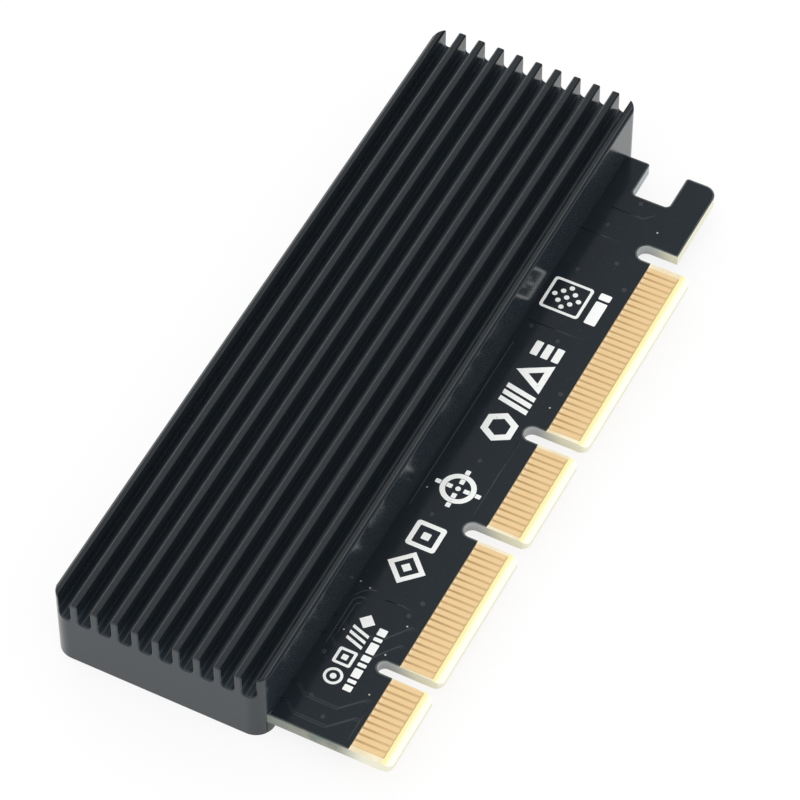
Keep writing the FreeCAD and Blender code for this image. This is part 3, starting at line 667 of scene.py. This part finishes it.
# each line's corners in millimetres, and its width
POWER_LINES = (
    (((-15.3, -7.10), (14.0, -7.10)), 0.26),
    (((-13.5, -15.05), (-0.2, -15.05)), 0.22),
    (((-38.8, -7.60), (-31.4, -7.60), (-30.7, -8.30), (-30.7, -9.30)), 0.22),
    (((-36.9, -8.20), (-32.0, -8.20), (-31.4, -8.80)), 0.20),
    (((-31.8, WALL_Y), (-29.8, -8.10), (-29.1, -9.00), (-29.1, -10.20)), 0.20),
    (((-29.8, -11.20), (-29.6, -13.40), (-30.0, -16.20)), 0.18),
    (((-50.3, -16.70), (-45.0, -16.70)), 0.20),
    (((18.2, -7.30), (18.2, -16.40)), 0.18),
    (((35.2, WALL_Y), (35.2, -12.60)), 0.24),
    (((40.2, -8.60), (40.2, -13.20), (41.6, -14.60)), 0.20),
)
for line, width in POWER_LINES:
    lay_track(top_copper, line, width, TRACK_LIFT, mask_level, 1.0)

# signal pairs: up from the contacts, over towards the socket and under the wall; each has its
# own start and lean
PAIR_WIDTH = 0.16
PAIR_SPACE = 0.32
PAIRS = ((-47.3, 2.6), (-44.3, 2.6), (-35.3, 3.4), (-32.3, 3.4))
for start, lean in PAIRS:
    for offset in (0.0, PAIR_SPACE):
        x = start + offset
        drop = offset * 0.4
        lay_track(
            top_copper,
            ((x, -17.1), (x, -15.9 - drop), (x - lean, -13.4 - drop),
             (x - lean, -8.9), (x - lean + 1.1, -7.6), (x - lean + 1.1, WALL_Y)),
            PAIR_WIDTH, TRACK_LIFT * 0.7, mask_level, 1.0,
        )

TENTED_VIAS = (
    (-40.0, -8.0), (-30.6, -14.9), (-28.2, -15.6), (-15.4, -10.3), (-5.2, -11.9), (16.6, -12.2),
    (17.4, -8.0), (28.6, -9.2), (31.8, -13.4), (37.2, -9.4), (-48.6, -12.4), (-46.4, -9.6),
    (42.4, -11.8), (9.0, -16.4), (28.2, -16.2),
)
for x, y in TENTED_VIAS:
    lay_land(top_copper, x, y, LAND_RADIUS, TRACK_LIFT, mask_level, 1.0)
bmesh.ops.recalc_face_normals(top_copper, faces=top_copper.faces)
copper_relief = piece("copper_relief_top", top_copper, [mask_on_copper], smooth=True)

# underneath: one line to every fourth contact, clear of the board's notches and their ends
NOTCHES = ((-38.8, 2.0), (-15.3, 2.5), (1.6, 2.5), (35.1, 3.0))
JOG = 1.2
bottom_copper = bmesh.new()
mask_under = board_low.z - MASK_THICKNESS
for start in range(-46, 42, 4):
    if any(abs(start - notch) < clear for notch, clear in NOTCHES):
        continue
    turned = start + (JOG if start % 8 else -JOG)
    lay_track(
        bottom_copper, ((start, -17.0), (start, -14.2), (turned, -12.6), (turned, WALL_Y)),
        0.22, TRACK_LIFT, mask_under, -1.0,
    )
    lay_land(bottom_copper, start + 1.4, -9.4, LAND_RADIUS, TRACK_LIFT, mask_under, -1.0)
bmesh.ops.recalc_face_normals(bottom_copper, faces=bottom_copper.faces)
copper_relief = piece("copper_relief_bottom", bottom_copper, [mask_on_copper], smooth=True)


# ---- Bare vias ------------------------------------------------------------------------------
# A few small vias stand open in the mask: plated barrels with a gold-flashed rim, seen as pale
# dots beside the contact groups.

plated_rim, tree, shader = finish_of("gold flashed copper")
mottle = cloud(tree, place(tree), 6000.0, 2.0, 0.5)
colour = blend(tree, mottle, (0.52, 0.50, 0.44), (0.72, 0.70, 0.62))
wire(tree, shader, Base_Color=colour, Roughness=between(tree, mottle, 0.3, 0.7, 0.32, 0.46))
settings(shader, Metallic=1.0)
relief(tree, shader, mottle, 0.004 * MM, 0.5)

BARE_VIAS = (
    (-29.0, -8.7), (-28.6, -7.2), (-43.2, -15.95), (-37.1, -15.0), (-36.0, -8.7), (-32.1, -15.45),
    (-11.9, -7.9), (38.9, -15.9), (6.4, -16.1),
)
RIM_RADIUS = 0.13
RIM_LIFT = 0.014 * MM
bare_vias = bmesh.new()
for x, y in BARE_VIAS:
    lay_land(bare_vias, x, y, RIM_RADIUS, RIM_LIFT, mask_level, 1.0, sides=14)
bmesh.ops.recalc_face_normals(bare_vias, faces=bare_vias.faces)
piece("bare_vias", bare_vias, [plated_rim], smooth=True)


# ---- Printed marks --------------------------------------------------------------------------
# White epoxy ink, screened on the mask and baked: plain generic marks, in five places between
# the housing and the contact edge.

INK_HEIGHT = 0.018 * MM

white_ink, tree, shader = finish_of("white screen ink")
mesh_marks = cloud(tree, place(tree), 5200.0, 2.0, 0.5)
full_ink = between(tree, cloud(tree, place(tree), 1700.0, 3.0, 0.6), 0.28, 0.36)
colour = blend(tree, mesh_marks, (0.935, 0.955, 0.935), (0.985, 0.995, 0.980))
colour = blend(tree, full_ink, (0.66, 0.70, 0.70), colour)
wire(tree, shader, Base_Color=colour, Roughness=between(tree, mesh_marks, 0.3, 0.7, 0.42, 0.55))
settings(shader, IOR=1.5)
relief(tree, shader, mesh_marks, 0.008 * MM, 0.4)

marks = bmesh.new()


def print_solid(outline):
    """A filled printed shape from its outline, in millimetres."""
    low = [marks.verts.new((x * MM, y * MM, mask_level)) for x, y in outline]
    top = [marks.verts.new((x * MM, y * MM, mask_level + INK_HEIGHT)) for x, y in outline]
    marks.faces.new(top)
    for k in range(len(low)):
        after = (k + 1) % len(low)
        marks.faces.new((low[k], low[after], top[after], top[k]))


def print_band(outer, inner):
    """A printed band between two outlines with the same number of points."""
    count = len(outer)
    rows = [
        [marks.verts.new((x * MM, y * MM, z)) for x, y in line]
        for line, z in (
            (outer, mask_level), (outer, mask_level + INK_HEIGHT),
            (inner, mask_level + INK_HEIGHT), (inner, mask_level),
        )
    ]
    for row, following in zip(rows, rows[1:]):
        for k in range(count):
            after = (k + 1) % count
            marks.faces.new((row[k], row[after], following[after], following[k]))


def round_outline(x, y, radius, sides=40, turn=0.0):
    """Points of a circle, or of a plain polygon when it has few sides."""
    angles = [math.tau * k / sides + turn for k in range(sides)]
    return [(x + radius * math.cos(angle), y + radius * math.sin(angle)) for angle in angles]


def soft_box(x0, y0, x1, y1, corner, steps=5):
    """Points of a box with rounded corners."""
    points = []
    for cx, cy, start in (
        (x1 - corner, y1 - corner, 0), (x0 + corner, y1 - corner, 1),
        (x0 + corner, y0 + corner, 2), (x1 - corner, y0 + corner, 3),
    ):
        for k in range(steps + 1):
            angle = math.pi / 2 * (start + k / steps)
            points.append((cx + corner * math.cos(angle), cy + corner * math.sin(angle)))
    return points


def print_bar(x0, y0, x1, y1, corner=0.12):
    """A bar with rounded corners."""
    print_solid(soft_box(x0, y0, x1, y1, corner))


def print_frame(x0, y0, x1, y1, line, corner, inner_corner=0.15):
    """A box drawn with one even line."""
    inside = soft_box(x0 + line, y0 + line, x1 - line, y1 - line, inner_corner)
    print_band(soft_box(x0, y0, x1, y1, corner), inside)


def print_dot(x, y, radius, sides=20):
    """A filled circle, or a plain polygon when it has few sides."""
    print_solid(round_outline(x, y, radius, sides))


def print_round(x, y, outer, inner, sides=40, turn=0.0):
    """A ring, or a plain polygon when it has few sides."""
    inside = round_outline(x, y, inner, sides, turn)
    print_band(round_outline(x, y, outer, sides, turn), inside)


def print_slashes(starts, low, high, width, slant):
    """Slanted strokes side by side."""
    for x in starts:
        top = x + slant
        print_solid([(x, low), (x + width, low), (top + width, high), (top, high)])


# by the short end: small plain shapes over a row of uneven dashes
print_round(-42.75, -10.75, 1.25, 0.88)
print_dot(-42.75, -10.75, 0.42)
print_frame(-40.9, -12.0, -38.4, -9.5, 0.38, 0.3)
print_bar(-40.05, -11.15, -39.25, -10.35)
print_slashes((-37.8, -36.9, -36.0), -12.0, -9.5, 0.45, 0.8)
print_dot(-33.7, -10.75, 1.1, 4)
DASHES = (0.9, 0.55, 1.4, 0.55, 0.9, 1.7, 0.55, 1.1)
DASH_SPACE = 0.36
dash_x = -44.0
for dash in DASHES:
    print_bar(dash_x, -13.75, dash_x + dash, -12.6)
    dash_x += dash + DASH_SPACE

# next group: a heavy diamond and a heavy square, each with its centre filled
print_round(-24.2, -11.3, 2.65, 1.73, 4)
print_dot(-24.2, -11.3, 0.75, 4)
print_frame(-20.9, -13.35, -16.8, -9.25, 0.65, 0.45)
print_bar(-19.4, -11.85, -18.3, -10.75)

# a registration target
TARGET_X = -10.4
TARGET_Y = -11.5
TICK = 0.32
print_round(TARGET_X, TARGET_Y, 2.35, 1.65, 48)
for near, far in ((0.80, 1.58), (2.42, 3.15)):
    for side in (-1.0, 1.0):
        low, high = sorted((side * near, side * far))
        print_bar(TARGET_X + low, TARGET_Y - TICK, TARGET_X + high, TARGET_Y + TICK)
        print_bar(TARGET_X - TICK, TARGET_Y + low, TARGET_X + TICK, TARGET_Y + high)
print_dot(TARGET_X, TARGET_Y, 0.36)

# the boldest row: heavy plain shapes in a line
UPRIGHT = math.radians(90)
print_round(0.75, -11.75, 2.45, 1.45, 6)
print_slashes((3.9, 5.05, 6.2), -13.9, -9.6, 0.75, 0.8)
print_round(10.2, -12.4, 2.9, 1.2, 3, UPRIGHT)
for y in (-13.85, -12.35, -10.85):
    print_bar(13.2, y, 15.6, y + 1.0)

# by the hook: a diamond of dots in a fine frame, and a solid bar
DOT_SPACE = 0.85
print_frame(20.9, -12.9, 26.4, -7.3, 0.4, 0.5, 0.25)
for row in range(-2, 3):
    for column in range(-2 + abs(row), 3 - abs(row), 2):
        print_dot(23.65 + column * DOT_SPACE, -10.1 + row * DOT_SPACE, 0.36, 16)
print_bar(20.9, -15.4, 24.9, -13.8, 0.2)
print_bar(25.3, -15.4, 26.4, -13.8, 0.2)
bmesh.ops.recalc_face_normals(marks, faces=marks.faces)
piece("printed_marks", marks, [white_ink])


# ---- Gold edge contacts ---------------------------------------------------------------------
# Copper fingers under hard gold, on both faces of the tongue. Their inner corners are clipped,
# their rims rounded by plating, and the socket's springs leave pale wipe lines along them.

hard_gold, tree, shader = finish_of("hard gold plating")
spot = place(tree)
point = add(tree, "SeparateXYZ", {0: spot}).outputs
wipe = cloud(tree, place(tree, (9000.0, 130.0, 1.0)), 1.0, 2.0, 0.5)
cloudy = cloud(tree, spot, 420.0, 3.0, 0.5)
tip = between(tree, point[1], contact_high.y - 0.55 * MM, contact_high.y - 0.10 * MM)
colour = blend(tree, cloudy, (0.960, 0.640, 0.310), (1.000, 0.720, 0.390))
colour = blend(tree, times(tree, wipe, 0.30), colour, (1.000, 0.800, 0.500))
colour = blend(tree, times(tree, tip, 0.6), colour, (1.0, 0.860, 0.640))
wire(tree, shader, Base_Color=colour, Roughness=between(tree, wipe, 0.25, 0.75, 0.36, 0.50))
settings(shader, Metallic=1.0)
relief(tree, shader, sums(tree, "ADD", wipe, cloudy), 0.006 * MM, 0.4)

FINGER_CORNER = 0.16 * MM
FINGER_RIM = 0.016 * MM
FINGER_JOIN = 0.02


def edge_fingers(name, node, outward):
    """The row of fingers on one face, with clipped corners and soft rims."""
    shape = bmesh.new()
    shape.from_mesh(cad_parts[node].data)
    bmesh.ops.remove_doubles(shape, verts=shape.verts, dist=WELD_GAP)
    bmesh.ops.dissolve_limit(
        shape, angle_limit=FINGER_JOIN, verts=shape.verts, edges=shape.edges,
    )
    upright = [
        edge for edge in shape.edges
        if abs((edge.verts[0].co - edge.verts[1].co).normalized().z) > 0.99
    ]
    bmesh.ops.bevel(
        shape, geom=upright, offset=FINGER_CORNER, segments=2, profile=0.5, affect="EDGES",
    )
    outer_z = max(vert.co.z * outward for vert in shape.verts) * outward
    rim = [
        edge for edge in shape.edges
        if all(abs(vert.co.z - outer_z) < WELD_GAP for vert in edge.verts)
        and len(edge.link_faces) == 2
        and any(abs(face.normal.z) < 0.5 for face in edge.link_faces)
    ]
    bmesh.ops.bevel(
        shape, geom=rim, offset=FINGER_RIM, segments=1, profile=0.5, affect="EDGES",
    )
    made = piece(name, shape, [hard_gold])
    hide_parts(node)


edge_fingers("gold_fingers_top", "edge_contacts_top", 1.0)
edge_fingers("gold_fingers_bottom", "edge_contacts_bottom", -1.0)


# ---- Module socket --------------------------------------------------------------------------
# A moulded nylon connector soldered to the board inside the housing. Formed copper springs,
# gold flashed, stand in two rows, and tinned tabs pin its ends down.

moulded_nylon, tree, shader = finish_of("moulded black nylon")
spark = cloud(tree, place(tree), 5200.0, 3.0, 0.7)
flow = cloud(tree, place(tree, (120.0, 700.0, 700.0)), 1.0, 2.0, 0.5)
pale_specks = between(tree, spark, 0.62, 0.75)
colour = blend(tree, pale_specks, (0.014, 0.014, 0.015), (0.045, 0.045, 0.047))
wire(tree, shader, Base_Color=colour, Roughness=between(tree, flow, 0.3, 0.7, 0.42, 0.58))
settings(shader, IOR=1.53)
relief(tree, shader, spark, 0.01 * MM, 0.4)
give_finish("module_socket", moulded_nylon)


def pressed_metal(name, dull, bright, rough):
    """Small formed or plated metal: rolled grain along the card, and a light mottle."""
    finish, tree, shader = finish_of(name)
    rolled = cloud(tree, place(tree, (300.0, 6000.0, 6000.0)), 1.0, 2.0, 0.5)
    mottle = cloud(tree, place(tree), 2400.0, 3.0, 0.6)
    colour = blend(tree, mottle, dull, bright)
    brushed = between(tree, rolled, 0.3, 0.7, rough, rough + 0.14)
    wire(tree, shader, Base_Color=colour, Roughness=brushed)
    settings(shader, Metallic=1.0)
    relief(tree, shader, rolled, 0.004 * MM, 0.5)
    return finish


spring_gold = pressed_metal("gold flashed spring", (0.80, 0.58, 0.30), (0.92, 0.70, 0.42), 0.26)
matt_tin = pressed_metal("matt tin", (0.55, 0.55, 0.56), (0.70, 0.70, 0.70), 0.40)
give_finish("socket_contacts_upper", spring_gold)
give_finish("socket_contacts_lower", spring_gold)
give_finish("socket_hold_downs", matt_tin)


# ---- Module standoff, screw and plated holes ------------------------------------------------
# A flanged brass bush, turned from bar and pressed into the board, takes the nickel plated
# screw that holds the free end of a module. Two plated holes stand ready for shorter modules.

def turned_metal(name, node, dull, bright, rough):
    """Metal turned on a lathe, with the tool's rings about the piece's own axis."""
    low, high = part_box(node)
    finish, tree, shader = finish_of(name)
    centre = (low + high) / 2
    rings = use(tree, turning_rings, {"Centre": centre, "Ring Scale": 42000.0})["Rings"]
    wear = use(tree, worn_corners, {"Break Scale": 1500.0, "Spread": 0.5})["Wear"]
    mottle = cloud(tree, place(tree), 1500.0, 3.0, 0.6)
    colour = blend(tree, mottle, dull, bright)
    colour = blend(tree, times(tree, wear, 0.4), colour, (0.9, 0.88, 0.84))
    dulled = between(tree, mottle, 0.3, 0.7, rough, rough + 0.12)
    wire(tree, shader, Base_Color=colour, Roughness=dulled)
    settings(shader, Metallic=1.0)
    relief(tree, shader, rings, 0.005 * MM, 0.6)
    give_finish(node, finish)


turned_metal("turned brass", "module_standoff", (0.62, 0.46, 0.22), (0.78, 0.60, 0.32), 0.24)
turned_metal("nickel plate", "module_screw", (0.55, 0.53, 0.50), (0.68, 0.66, 0.62), 0.22)
give_finish("module_hole_plating", plated_rim)


# ---- Heat conducting pads -------------------------------------------------------------------
# Soft silicone sheet filled with ceramic powder, cut to length and stuck above and below the
# module's place. Its faces keep the print of the woven liner it came on.

soft_silicone, tree, shader = finish_of("filled silicone sheet")
spot = place(tree)
point = add(tree, "SeparateXYZ", {0: spot}).outputs
LINER_PITCH = 0.6 * MM
across = sums(tree, "SINE", times(tree, point[0], math.tau / LINER_PITCH))
along = sums(tree, "SINE", times(tree, point[1], math.tau / LINER_PITCH))
liner = times(tree, across, along)
powder = cloud(tree, spot, 5000.0, 3.0, 0.7)
colour = blend(tree, powder, (0.150, 0.205, 0.300), (0.205, 0.270, 0.370))
wire(tree, shader, Base_Color=colour, Roughness=between(tree, powder, 0.3, 0.7, 0.62, 0.78))
settings(shader, IOR=1.42)
relief(tree, shader, sums(tree, "MULTIPLY_ADD", liner, 0.5, powder), 0.02 * MM, 0.5)
give_finish("thermal_pad_upper", soft_silicone)
give_finish("thermal_pad_lower", soft_silicone)


# ---- Chip capacitors and resistors ----------------------------------------------------------
# Fired ceramic bricks with tinned ends, soldered in rows across the card by the socket and by
# the far screws. The resistors have a dark glaze on top.

def chip_finish(name, node, body_dark, body_light, gloss):
    """Ceramic in the middle of the chip and tin over the quarter at each end."""
    low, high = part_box(node)
    reach = (high.x - low.x) / 2
    finish, tree, shader = finish_of(name)
    spot = place(tree)
    along = add(tree, "SeparateXYZ", {0: spot}).outputs[0]
    from_middle = sums(tree, "ABSOLUTE", sums(tree, "SUBTRACT", along, (low.x + high.x) / 2))
    cap = between(tree, from_middle, reach * 0.49, reach * 0.51)
    speckle = cloud(tree, spot, 4200.0, 3.0, 0.7)
    colour = blend(tree, speckle, body_dark, body_light)
    colour = blend(tree, cap, colour, (0.62, 0.62, 0.61))
    rough = between(tree, sums(tree, "MULTIPLY_ADD", cap, 0.4, speckle), 0.3, 1.0, gloss, 0.5)
    wire(tree, shader, Base_Color=colour, Metallic=cap, Roughness=rough)
    relief(tree, shader, speckle, 0.006 * MM, 0.5)
    give_finish(node, finish)


TAN = ((0.230, 0.150, 0.085), (0.300, 0.205, 0.120))
chip_finish("coupling capacitor ceramic", "coupling_capacitors", *TAN, 0.34)
chip_finish("bulk capacitor ceramic", "bulk_capacitors", *TAN, 0.30)
chip_finish("decoupling capacitor ceramic", "decoupling_capacitors", *TAN, 0.34)
chip_finish("resistor glaze", "strap_resistors", (0.012, 0.012, 0.013), (0.022, 0.022, 0.024), 0.18)


# ---- Table, light and camera ----------------------------------------------------------------
# The card lies on a plain white table under soft studio light: an even white room whose
# reflections are dimmer in front and low down, and a wide lamp low behind the card.

TABLE_SIZE = 3.0
TABLE_GLOW = 0.86
WHITE = (1.0, 1.0, 1.0)

table_shape = bmesh.new()
bmesh.ops.create_grid(table_shape, x_segments=8, y_segments=8, size=TABLE_SIZE / 2)
table_mesh = bpy.data.meshes.new("table")
table_shape.to_mesh(table_mesh)
table_shape.free()
table = bpy.data.objects.new("table", table_mesh)
table.location.z = cad_low.z
bpy.context.scene.collection.objects.link(table)

white_table, tree, shader = finish_of("white table")
path = add(tree, "LightPath").outputs
seen = sums(tree, "MAXIMUM", path["Is Camera Ray"], path["Is Glossy Ray"])
seen = sums(tree, "MAXIMUM", seen, path["Is Transmission Ray"])
matt_white = add(tree, "BsdfDiffuse", {"Color": (0.90, 0.90, 0.90, 1.0)})
glow = add(tree, "Emission", {"Color": (*WHITE, 1.0), "Strength": 1.0})
part_glow = times(tree, seen, TABLE_GLOW)
surface = add(tree, "MixShader", {0: part_glow, 1: matt_white.outputs[0], 2: glow.outputs[0]})
tree.links.new(surface.outputs[0], tree.nodes["Material Output"].inputs["Surface"])
tree.nodes.remove(shader)
table_mesh.materials.append(white_table)

# the room lights the card evenly, but in the gloss it is dimmer low down and dark in front
ROOM_LIGHT = 1.12
ROOM_GLOSS = (0.955, 0.990, 1.0)
room = bpy.data.worlds.new("white room")
bpy.context.scene.world = room
room.use_nodes = True
tree = room.node_tree
way = add(tree, "SeparateXYZ", {0: add(tree, "TexCoord").outputs["Generated"]}).outputs
overhead = between(tree, way[2], 0.60, 0.90, 0.68, 1.00)
dark_side = between(tree, way[1], -0.55, 0.10, 0.32, 1.0)
path = add(tree, "LightPath").outputs
in_gloss = times(tree, overhead, dark_side)
level = add(tree, "Mix", {0: path["Is Glossy Ray"], 2: ROOM_LIGHT, 3: in_gloss}).outputs[0]
level = add(tree, "Mix", {0: path["Is Camera Ray"], 2: level, 3: 1.0}).outputs[0]
tint = blend(tree, path["Is Glossy Ray"], WHITE, ROOM_GLOSS)
tree.links.new(level, tree.nodes["Background"].inputs["Strength"])
tree.links.new(tint, tree.nodes["Background"].inputs["Color"])


def aimed(name, data, spot, aim):
    """A lamp or a camera at a spot, turned to look at the aim."""
    made = bpy.data.objects.new(name, data)
    bpy.context.scene.collection.objects.link(made)
    made.location = spot
    made.rotation_mode = "QUATERNION"
    made.rotation_quaternion = (aim - spot).to_track_quat("-Z", "Y")
    return made


LAMP_PLACE = Vector((0.62, 0.82, 0.50))
lamp = bpy.data.lights.new("wide lamp", "AREA")
lamp.shape = "RECTANGLE"
lamp.size = 0.9
lamp.size_y = 0.5
lamp.energy = 3.0
aimed("wide lamp", lamp, LAMP_PLACE, Vector((0.0, 0.0, 0.0)))

CAMERA_PLACE = Vector((-0.33007, -0.16724, 0.47800))
CAMERA_AIM = Vector((-0.00113, 0.00144, 0.0039))
camera = bpy.data.cameras.new("camera")
camera.sensor_width = 36.0
camera.lens = 212.55
bpy.context.scene.camera = aimed("camera", camera, CAMERA_PLACE, CAMERA_AIM)
bpy.context.scene.view_settings.view_transform = "Standard"
